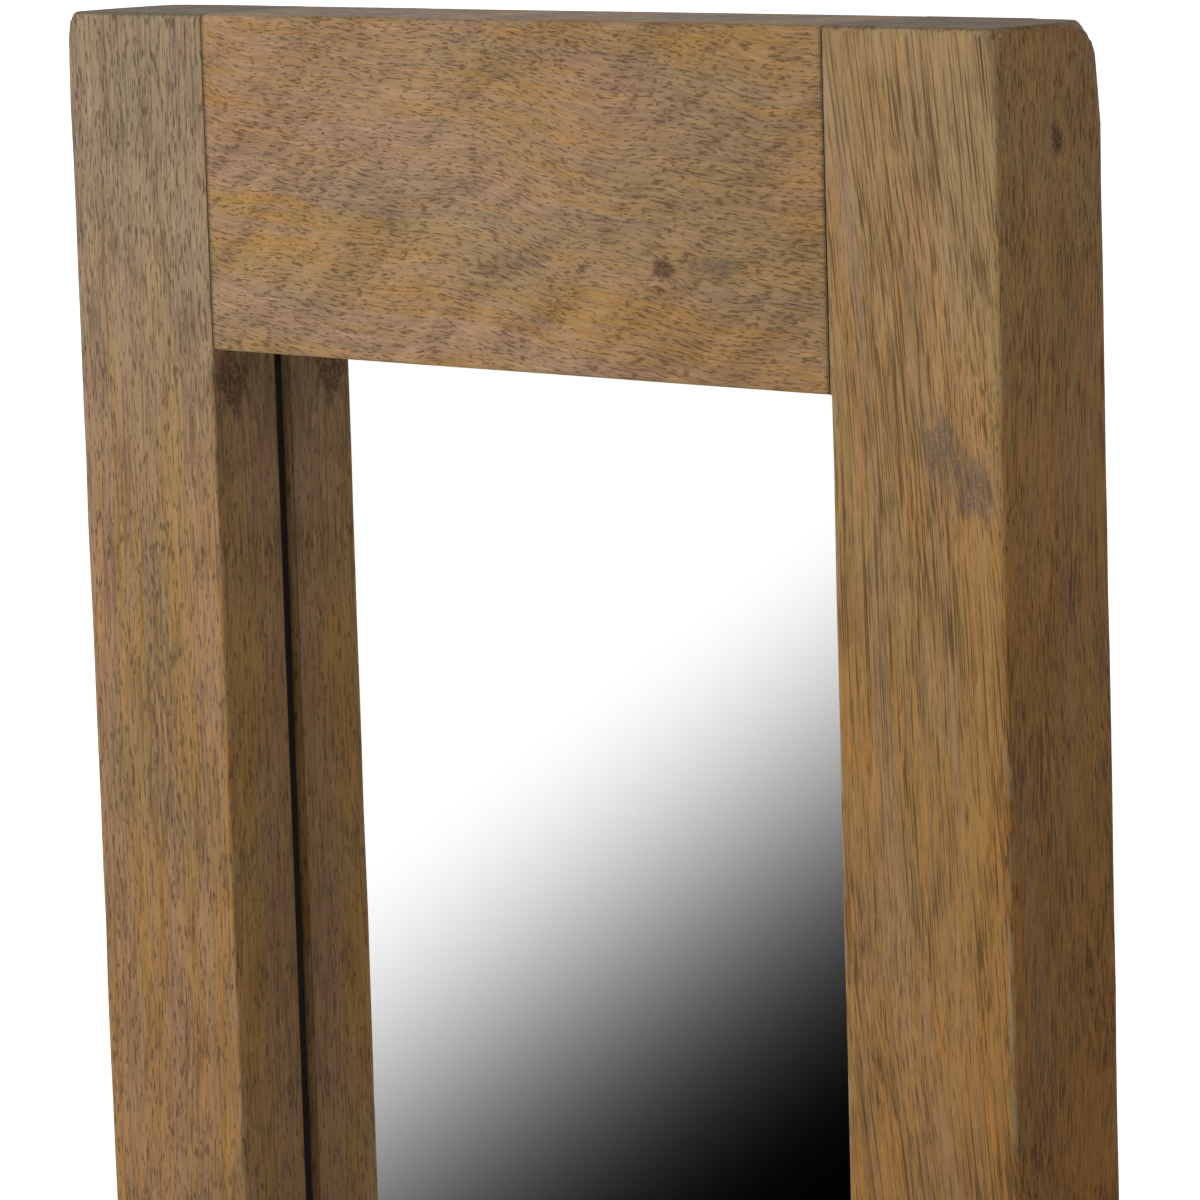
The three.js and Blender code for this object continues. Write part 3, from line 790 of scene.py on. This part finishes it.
def tannedLeather(name):
    finish = Finish(name)
    place = finish.node("TexCoord", out="Object")
    cells = finish.node("TexVoronoi", {}, {"Vector": place, "Scale": 900.0}, "Distance")
    clouds = finish.noise(place, (120, 120, 120), 3.0, 0.6)
    tone = finish.mix(finish.smooth(clouds, 0.35, 0.7), tint(96, 58, 34), tint(66, 38, 24))
    return finish.surface({
        "Base Color": tone,
        "Roughness": 0.48 + 0.25 * clouds,
        "Normal": finish.bump(cells, 0.15 * mm, 0.6),
    })


def twoTone(name, scales, first, second, roughness, rougher, depth=0, detail=3.0):
    # dowels, paint and ground glass: one noise sets tone, roughness and relief
    finish = Finish(name)
    grain = finish.noise(finish.node("TexCoord", out="Object"), scales, detail, 0.6)
    sockets = {"Base Color": finish.mix(grain, first, second), "Roughness": roughness + rougher * grain}
    if depth:
        sockets["Normal"] = finish.bump(grain, depth, 0.5)
    return finish.surface(sockets)


def silveredGlass():
    silver = Finish("silveredGlass")
    place = silver.node("TexCoord", out="Object")
    dust = silver.noise(place, (40, 40, 40), 3.0)
    return silver.surface({
        "Base Color": tint(249, 250, 249),
        "Metallic": 1.0,
        "Roughness": 0.006 + 0.01 * silver.smooth(dust, 0.55, 0.8),
    })


print("fittings")
brass = metal("brass", (0.60, 0.42, 0.19, 1.0), 0.24, (1500, 200, 200))
steel = metal("zincSteel", (0.50, 0.50, 0.48, 1.0), 0.3, (300, 900, 900))
darkFelt = fibrous("darkFelt", tint(40, 31, 24), tint(28, 22, 18), 2600, 0.3 * mm)
padFelt = fibrous("padFelt", tint(88, 70, 54), tint(62, 50, 40), 2400, 0.4 * mm)
hardboard = fibrous("hardboard", tint(134, 98, 64), tint(112, 78, 50), 900, 0.1 * mm, 0.75)
packingCard = fibrous("packingCard", tint(168, 138, 100), tint(140, 112, 78), 800, 0.15 * mm)
leather = tannedLeather("tannedLeather")
dowel = twoTone("dowelWood", (90, 700, 700), tint(196, 160, 116), tint(160, 118, 78), 0.6, 0.15, 0.1 * mm)
nodeFinishes = {
    "frame_dowel": dowel, "stretcher_dowel": dowel, "glass_cushion": darkFelt, "packing_strip": packingCard,
    "back_panel": hardboard, "pivot_insert": brass, "pivot_stud": steel, "pivot_bush": brass,
    "stretcher_bolt": steel, "barrel_nut": steel, "foot_pad": padFelt,
}
for node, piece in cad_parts.items():
    for start, finish in nodeFinishes.items():
        if node.startswith(start):
            piece.data.materials.clear()
            piece.data.materials.append(finish)


greys, greens = (tint(92, 96, 98), tint(112, 116, 118)), (tint(96, 134, 118), tint(132, 164, 148))
backingPaint = twoTone("backingPaint", (400, 400, 400), *greys, 0.45, 0.1, 0.05 * mm, 2.0)
glassEdge = twoTone("greenGlassEdge", (500, 500, 500), *greens, 0.35, 0.25)
glassLook = {"bevel": 0.6 * mm}


def makeGlass(look):
    size = glassHigh - glassLow
    b = look["bevel"]
    rings = [(0, b), (b, 0), (size.y - b, 0), (size.y, b)]  # depth, inset
    places, faces = [], []
    for depth, inset in rings:
        for x, z in ((0, 0), (1, 0), (1, 1), (0, 1)):
            places.append(glassLow + Vector((
                inset + x * (size.x - 2 * inset),
                depth,
                inset + z * (size.z - 2 * inset),
            )))
    faces.append((0, 1, 2, 3))
    for ring in range(len(rings) - 1):
        for i in range(4):
            a, c = ring * 4 + i, ring * 4 + (i + 1) % 4
            faces.append((a, a + 4, c + 4, c))
    faces.append((15, 14, 13, 12))
    mesh = newMesh("mirrorPlate", places, faces)
    for finish in (silveredGlass(), glassEdge, backingPaint):
        mesh.materials.append(finish)
    for face in mesh.polygons:
        face.material_index = 1
    mesh.polygons[0].material_index = 0
    mesh.polygons[len(faces) - 1].material_index = 2
    piece = linked("mirrorPlate", mesh)
    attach(piece, "mirror")
    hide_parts("mirror_glass")


makeGlass(glassLook)


# knobs, washers, plugs and pegs are turned, each drawn along X from its node's box
def quarterRound(startAlong, startRadius, size, outward, steps=6):
    # points of a rounded corner, from the end face towards the side or back again
    points = []
    for i in range(steps + 1):
        angle = math.pi / 2 * i / steps
        along, inward = size * (1 - math.cos(angle)), size * (1 - math.sin(angle))
        points.append((startAlong + (along if outward else -along), startRadius - inward))
    return points if outward else points[::-1]


def turnedPiece(name, node, side, profile, around, shaping=None):
    # the profile runs outwards, so it is turned half round on the left
    mesh = turnedMesh(name, profile, around, shaping)
    low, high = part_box(node)
    start = Vector((low.x if side > 0 else high.x, (low.y + high.y) / 2, (low.z + high.z) / 2))
    mesh.transform(Matrix.Translation(start) @ Matrix.Rotation(0 if side > 0 else math.pi, 4, "Z"))
    return mesh, low, high


def turnedSize(node):
    # its length along X, and its radius
    low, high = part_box(node)
    return high.x - low.x, (high.z - low.z) / 2


knobLook = {
    "lobes": 8,
    "scallop": 2.2 * mm,
    "scallopFrom": 0.55,     # of the radius
    "scallopOver": 0.35,
    "frontRound": 6 * mm,
    "backRound": 3.5 * mm,
    "groove": 0.9 * mm,      # turned line round the front face
    "grooveWide": 0.9 * mm,
    "grooveAt": 0.62,        # of the radius
    "dome": 1.2 * mm,
    "neck": 15 * mm,         # radius of the boss against the washer
    "neckSteps": [(0, -0.8 * mm), (0.3 * mm, 0), (1.8 * mm, 0), (2.2 * mm, 0.6 * mm)],
    "frontSteps": (1.0, 0.94, 0.9, 0.86, 0.82, 0.78, 0.7, 0.5, 0.3, 0.1),
    "back": 2.4 * mm,        # from the washer to the back of the grip
    "studHole": 4 * mm,
    "trim": 0.1 * mm,        # off the radius
    "around": 96,
}
knobBoard = {
    "tone": 0.86, "wave": 3 * mm, "waveLength": 0.08, "poreLength": 4 * mm, "pores": 0.5,
    "wornEdge": 0.3,
}


def makeKnob(side, look):
    node = "knob_" + side
    thick, radius = turnedSize(node)
    radius -= look["trim"]

    def scalloped(angle, along, size):
        fade = (size / radius - look["scallopFrom"]) / look["scallopOver"]
        fade = min(1.0, max(0.0, fade))
        return size - look["scallop"] * fade * (1 - math.cos(look["lobes"] * angle)) / 2

    back = look["back"]
    profile = [(0, look["studHole"])] + [(along, look["neck"] + more) for along, more in look["neckSteps"]]
    profile += [(back, radius - look["backRound"] - 0.5 * mm)]
    profile += quarterRound(back, radius, look["backRound"], True)
    profile += [(thick * 0.5, radius)]
    profile += quarterRound(thick - look["dome"], radius, look["frontRound"], False)
    rim = radius - look["frontRound"]
    at = look["grooveAt"] * radius
    for share in look["frontSteps"]:
        size = min(rim - 0.3 * mm, rim * share)
        rise = look["dome"] * (1 - (size / rim) ** 2)
        dip = look["groove"] * math.exp(-(((size - at) / look["grooveWide"]) ** 2))
        profile.append((thick - look["dome"] + rise - dip, size))
    title = "knob" + side.capitalize()
    mesh, low, high = turnedPiece(title, node, sides[side], profile, look["around"], scalloped)
    placeGrain(mesh, low, high, (1, 0, 2), Vector((20.1 + 5 * sides[side], 4.4, 9.3)))
    finish = mangoWood(title + "Wood", knobBoard)
    finishPiece(title + "Grip", mesh, finish, "knob_assembly_" + side, "knob_wood", node)


knobWasherLook = {"bore": 5.3 * mm, "ease": 0.5 * mm, "bulge": 0.0, "around": 72}
leatherWasherLook = {**knobWasherLook, "bulge": 0.4 * mm}


def makeDisc(side, title, node, finish, body, slotName, look):
    thick, radius = turnedSize(node)
    bore, ease, bulge = look["bore"], look["ease"], look["bulge"]
    profile = [(0, bore), (0, radius - ease)]
    profile += quarterRound(0, radius - bulge, ease, True, 3)[1:]
    if bulge:
        profile.append((thick / 2, radius))
    profile += quarterRound(thick, radius - bulge, ease, False, 3)[:-1]
    profile += [(thick, radius - ease), (thick, bore)]
    mesh = turnedPiece(title, node, sides[side], profile, look["around"])[0]
    finishPiece(title, mesh, finish, body, slotName, node)


pegLook = {"ease": 0.15 * mm, "easeLong": 0.4 * mm, "around": 40, "tone": 0.82}


def makePeg(side, title, node, slotName, seed, look):
    # a wooden peg or plug, sanded nearly flush, with eased ends
    thick, radius = turnedSize(node)
    profile = [(0, radius * 0.5), (0, radius * 0.8)]
    profile += [(look["ease"], radius - look["ease"]), (look["easeLong"], radius)]
    ends = [(thick - along, size) for along, size in reversed(profile)]
    mesh, low, high = turnedPiece(title, node, sides[side], profile + ends, look["around"])
    placeGrain(mesh, low, high, (1, 2, 0), Vector(seed))
    finish = mangoWood(title + "Wood", {**standBoard, "tone": look["tone"]})
    finishPiece(title, mesh, finish, "stand", slotName, node)


for side in sides:
    title = side.capitalize()
    makeKnob(side, knobLook)
    makeDisc(side, "knobWasher" + title, "knob_washer_" + side, brass, "stand", "brass", knobWasherLook)
    leatherNode = "friction_washer_" + side
    makeDisc(side, "leatherWasher" + title, leatherNode, leather, "mirror", "leather", leatherWasherLook)
    pegSeed, plugSeed = (3.3, 8.1, 2.2 * sides[side]), (6.3, 5.1, 3.2 * sides[side])
    makePeg(side, "footPeg" + title, "tenon_peg_" + side, "dowel_wood", pegSeed, pegLook)
    makePeg(side, "boltPlug" + title, "bolt_plug_" + side, "stand_wood", plugSeed, pegLook)


screwLook = {
    "recess": 1.1 * mm,      # depth of the cross
    "slot": 0.55 * mm,       # half its width
    "slotSlope": 0.15 * mm,
    "reach": 2.3 * mm,       # half its length
    "reachSlope": 0.3 * mm,
    "dome": 0.35 * mm,
    "headRings": 22,
    "around": 64,
    "rim": 0.5 * mm,
    "under": 2.2 * mm,       # depth at which the head meets the shank
    "neck": 1.75 * mm,
    "shank": 1.6 * mm,
    "tip": 3 * mm,
    "point": 0.3 * mm,
}


def makeScrew(node, look):
    low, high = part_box(node)
    radius = (high.x - low.x) / 2
    middle = (low + high) / 2
    title = "".join(word.capitalize() for word in node.split("_"))
    title = title[0].lower() + title[1:]

    def recessed(x, z):
        # depth of the cross at a point of the head
        cross = 0.0
        for a, b in ((x, z), (z, x)):
            inSlot = 1 - min(1.0, max(0.0, (abs(b) - look["slot"]) / look["slotSlope"]))
            inReach = 1 - min(1.0, max(0.0, (abs(a) - look["reach"]) / look["reachSlope"]))
            cross = max(cross, inSlot * inReach)
        return look["recess"] * cross

    places, faces = [], []
    steps, around = look["headRings"], look["around"]
    turn = noise.noise(middle * 90) * math.pi
    for ring in range(steps + 1):
        size = radius * ring / steps
        for i in range(around if ring else 1):
            angle = 2 * math.pi * i / around
            x, z = size * math.cos(angle), size * math.sin(angle)
            lift = -look["dome"] * (ring / steps) ** 2 - recessed(x, z)
            spun = (x * math.cos(turn) - z * math.sin(turn), x * math.sin(turn) + z * math.cos(turn))
            places.append(Vector((middle.x + spun[0], high.y + lift, middle.z + spun[1])))
    faces += [face[::-1] for face in fanFaces(0, 1, around)]
    for ring in range(steps - 1):
        faces += ringFaces(1 + ring * around, around)
    # the countersunk underside and the shank
    length = high.y - low.y
    below = [(look["rim"], radius), (look["under"], look["neck"])]
    below += [(length - look["tip"], look["shank"]), (length - 0.5 * mm, look["point"])]
    last = 1 + (steps - 1) * around
    for depth, size in below:
        for i in range(around):
            angle = 2 * math.pi * i / around + turn
            across, up = size * math.cos(angle), size * math.sin(angle)
            places.append(Vector((middle.x + across, high.y - depth, middle.z + up)))
        faces += ringFaces(last, around)
        last += around
    faces += fanFaces(len(places), last, around)
    places.append(Vector((middle.x, low.y, middle.z)))
    finishPiece(title, newMesh(title, places, faces), steel, "mirror", "steel", node)


for node in sorted(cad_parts):
    if node.startswith("panel_screw_"):
        makeScrew(node, screwLook)


print("stage and lights")
stageLook = {
    "floorSize": 120.0,
    "floorGlow": 0.62,
    "backdropRadius": 55.0,
    "backdropTilt": 95.0,    # degrees from straight up to the dome's lower edge
    "backdropColour": (1.0, 1.0, 1.0, 1.0),
    "sheenColour": (0.62, 0.66, 0.72, 1.0),   # what polished surfaces reflect
    "worldSide": (0.455, 0.385, 0.295, 1.0),  # warm walls and a dim, cool ceiling
    "worldAbove": (0.19, 0.22, 0.26, 1.0),
    "worldRise": (0.15, 0.75),                # heights between which one turns into the other
    "sunColour": (0.93, 1.01, 1.16),
    "sunStrength": 2.04,     # watts per square metre
    "sunAngle": 50.0,        # degrees across, which sets how soft shadows are
    "sunFrom": (-0.42, -0.86, 0.29),
    "backStrength": 1.0,
    "backFrom": (-0.45, 0.86, 0.22),
}
cardLook = {
    "beyond": 2.2,           # metres from the glass to the card
    "half": 0.2,             # half its size, for each metre from the eye
    "fadeStart": (0.0353, 0.0167),
    "fadeAcross": 0.608,
    "fadeDown": 0.794,
    "fadeLength": 0.0955,
    "fadeDepth": 0.948,
    "fadeCurve": 2.4,
    "strength": 1.06,
    "clear": (0.12, 0.19),   # where the card gives way to the studio
}


def stageObject(name, places, faces, material):
    mesh = newMesh(name, places, faces)
    mesh.materials.append(material)
    made = linked(name, mesh)
    return made


def makeFloor(look):
    paint = Finish("floorPaint")
    place = paint.node("TexCoord", out="Object")
    speckle = paint.noise(place, (3, 3, 3), 3.0)
    tone = paint.mix(speckle, tint(247, 247, 246), tint(249, 249, 248))
    material = paint.surface({
        "Base Color": tone,
        "Roughness": 0.85,
        "Emission Color": white,
        "Emission Strength": look["floorGlow"],
    })
    s = look["floorSize"] / 2
    floor = stageObject("floor", [(-s, -s, 0), (s, -s, 0), (s, s, 0), (-s, s, 0)], [(0, 1, 2, 3)], material)
    floor.visible_diffuse = False


def glowing(name, shade):
    glow = Finish(name)
    light = glow.node("Emission", {}, {"Color": shade, "Strength": 1.0})
    glow.node("OutputMaterial", {}, {"Surface": light})
    return glow.material


def makeDome(name, radius, lowest, colour):
    rings, parts = 12, 48
    places = [(0, 0, radius)]
    for i in range(1, rings + 1):
        tilt = math.radians(lowest) * i / rings
        for j in range(parts):
            turn = 2 * math.pi * j / parts
            across = radius * math.sin(tilt)
            places.append((across * math.cos(turn), across * math.sin(turn), radius * math.cos(tilt)))
    faces = fanFaces(0, 1, parts)
    for i in range(rings - 1):
        faces += [quad[::-1] for quad in ringFaces(1 + i * parts, parts)]
    dome = stageObject(name, places, faces, glowing(name + "Glow", colour))
    dome.visible_diffuse = False
    dome.visible_shadow = False
    return dome


def makeBackdrop(look):
    # one dome for the eye, and one for reflections
    radius, lowest = look["backdropRadius"], look["backdropTilt"]
    makeDome("backdrop", radius, lowest, look["backdropColour"]).visible_glossy = False
    makeDome("sheenDome", radius + 1, lowest, look["sheenColour"]).visible_camera = False


def makeCard(look):
    # a panel that fades from white to black, seen only in the glass
    ahead, right, up = cameraAxes(cameraLook)
    flip = Vector((1, -1, 1))
    ahead, right, up = ahead * flip, right * flip, up * flip
    plane = glassLow.y
    eye = camera.matrix_world.translation
    eye = Vector((eye.x, 2 * plane - eye.y, eye.z))
    reach = (plane - eye.y) / ahead.y + look["beyond"]
    middle = eye + ahead * reach
    half = look["half"] * reach
    corners = ((-1, -1), (1, -1), (1, 1), (-1, 1))
    places = [middle + right * half * a + up * half * b for a, b in corners]
    paint = Finish("cardFade")
    place = paint.attribute("cardPlace")
    across, height = paint.part(place, 0), paint.part(place, 1)
    startAcross, startHeight = look["fadeStart"]
    fade = (across - startAcross) * look["fadeAcross"] - (height - startHeight) * look["fadeDown"]
    light = 1.0 - look["fadeDepth"] * paint.smooth(fade, 0.0, look["fadeLength"])
    shade = paint.grey(light ** look["fadeCurve"])
    glow = paint.node("Emission", {}, {"Color": shade, "Strength": look["strength"]})
    rim = paint.maths("MAXIMUM", abs(across), abs(height))
    clear = paint.node("BsdfTransparent")
    mixed = paint.node("MixShader", {}, {0: paint.smooth(rim, *look["clear"]), 1: glow, 2: clear})
    paint.node("OutputMaterial", {}, {"Surface": mixed})
    card = stageObject("gradedCard", places, [(0, 1, 2, 3)], paint.material)
    values = [n * look["half"] for a, b in corners for n in (a, b, 0)]
    setPlaces(card.data, "cardPlace", values)
    card.visible_camera = False
    card.visible_diffuse = False
    card.visible_shadow = False


def makeLights(look):
    world = bpy.data.worlds.new("studio")
    world.use_nodes = True
    air = Finish("studio", world.node_tree)
    height = air.part(air.node("TexCoord", out="Generated"), 2)
    rise = air.smooth(height, *look["worldRise"])
    shade = air.mix(rise, look["worldSide"], look["worldAbove"])
    fill = air.node("Background", {}, {"Color": shade, "Strength": 1.0})
    air.node("OutputWorld", {}, {"Surface": fill})
    scene.world = world
    for name, strength, source in (
        ("keyLight", look["sunStrength"], look["sunFrom"]),
        ("backLight", look["backStrength"], look["backFrom"]),
    ):
        data = bpy.data.lights.new(name, "SUN")
        data.energy = strength
        data.color = look["sunColour"]
        data.angle = math.radians(look["sunAngle"])
        lamp = linked(name, data)
        lamp.rotation_mode = "QUATERNION"
        lamp.rotation_quaternion = Vector(source).to_track_quat("Z", "Y")


makeFloor(stageLook)
makeBackdrop(stageLook)
makeCard(cardLook)
makeLights(stageLook)
